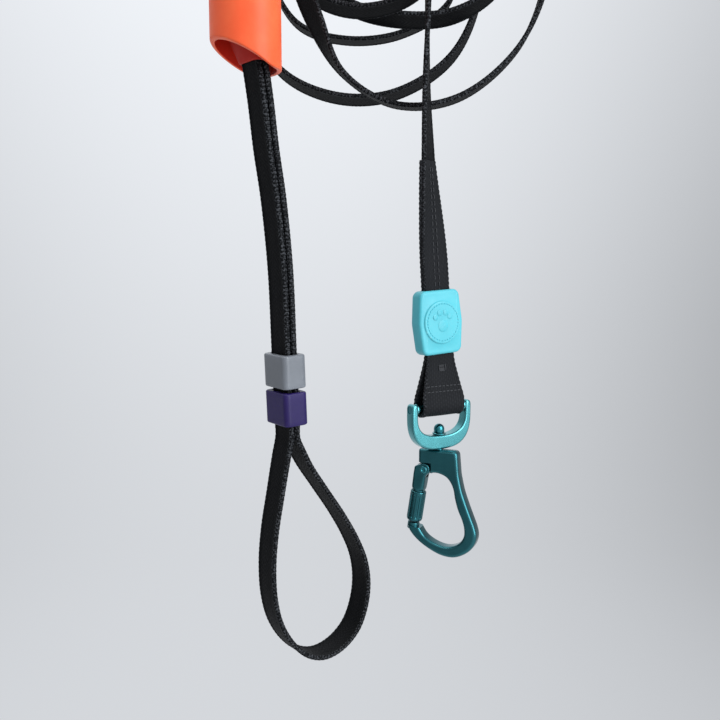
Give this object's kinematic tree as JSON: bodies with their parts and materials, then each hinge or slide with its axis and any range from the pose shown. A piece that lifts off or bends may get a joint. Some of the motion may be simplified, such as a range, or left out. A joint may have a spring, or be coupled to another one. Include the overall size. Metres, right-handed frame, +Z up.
{
  "type": "training leash",
  "caption": "Black webbing training leash hung in loops, with a hand loop, rubber hand grip, sliding stoppers, strap keeper and swivelling locking hook.",
  "frame": {"origin": "centre of the round support that the loops of webbing hang over", "axes": "+Z up, +X towards the hook end, -Y towards the viewer; the support lies along Y"},
  "size_m": [0.1636, 0.1111, 0.5255],
  "materials": {
    "webbing": "flat woven webbing, satin black with ribbed selvedges",
    "thread": "bonded sewing thread",
    "grip_rubber": "soft satin moulded rubber, coral orange",
    "core_plastic": "matt moulded plastic, dark red",
    "grey_rubber": "satin pearl grey moulded plastic",
    "purple_rubber": "satin purple moulded plastic",
    "keeper_rubber": "soft moulded rubber, light turquoise",
    "hook_metal": "anodised metal, dark teal with a bright sheen",
    "pin_metal": "anodised steel, teal",
    "spring_steel": "bright drawn spring wire"
  },
  "bodies": {
    "webbing": {"hand_loop_webbing": "webbing", "leash_webbing": "webbing", "hook_end_webbing": "webbing", "centre_seam_thread": "thread", "bartack_thread": "thread", "fold_seam_thread": "thread", "grip_sleeve": "grip_rubber", "grip_core": "core_plastic", "tail_seam_thread": "thread"},
    "grey_slider": {"grey_stopper": "grey_rubber"},
    "purple_slider": {"purple_stopper": "purple_rubber"},
    "keeper_slider": {"keeper": "keeper_rubber"},
    "bow": {"swivel_bow": "hook_metal", "webbing_bar": "pin_metal"},
    "hook": {"hook_body": "hook_metal", "swivel_pin": "pin_metal", "swivel_washer": "pin_metal", "gate_rivet": "pin_metal", "gate_spring": "spring_steel"},
    "gate": {"gate_lever": "hook_metal"},
    "sleeve": {"lock_sleeve": "hook_metal"}
  },
  "joints": [
    {"name": "grey_stopper_slide", "type": "slide", "parent": "webbing", "child": "grey_slider", "axis": [-0.0317, -0.023, 0.9992], "range_m": [0, 0.02]},
    {"name": "purple_stopper_slide", "type": "slide", "parent": "webbing", "child": "purple_slider", "axis": [-0.0317, -0.023, 0.9992], "range_m": [-0.006, 0]},
    {"name": "keeper_slide", "type": "slide", "parent": "webbing", "child": "keeper_slider", "axis": [-0.0628, 0, 0.998], "range_m": [0, 0.011]},
    {"name": "bow_swing", "type": "hinge", "parent": "webbing", "child": "bow", "pos_m": [0.0528, -0.032, -0.3346], "axis": [0.866, 0.5, 0], "range_deg": [-60, 60]},
    {"name": "hook_swivel", "type": "hinge", "parent": "bow", "child": "hook", "pos_m": [0.0528, -0.032, -0.3564], "axis": [0, 0, 1], "continuous": true},
    {"name": "gate_hinge", "type": "hinge", "parent": "hook", "child": "gate", "pos_m": [0.04655, -0.02908, -0.3672], "axis": [-0.4226, -0.9063, 0], "range_deg": [0, 25], "stiffness_Nm_per_rad": 0.02, "springref_deg": -17.19},
    {"name": "lock_sleeve_slide", "type": "slide", "parent": "gate", "child": "sleeve", "axis": [-0.1355, 0.0632, -0.9888], "range_m": [0, 0.0024]}
  ]
}
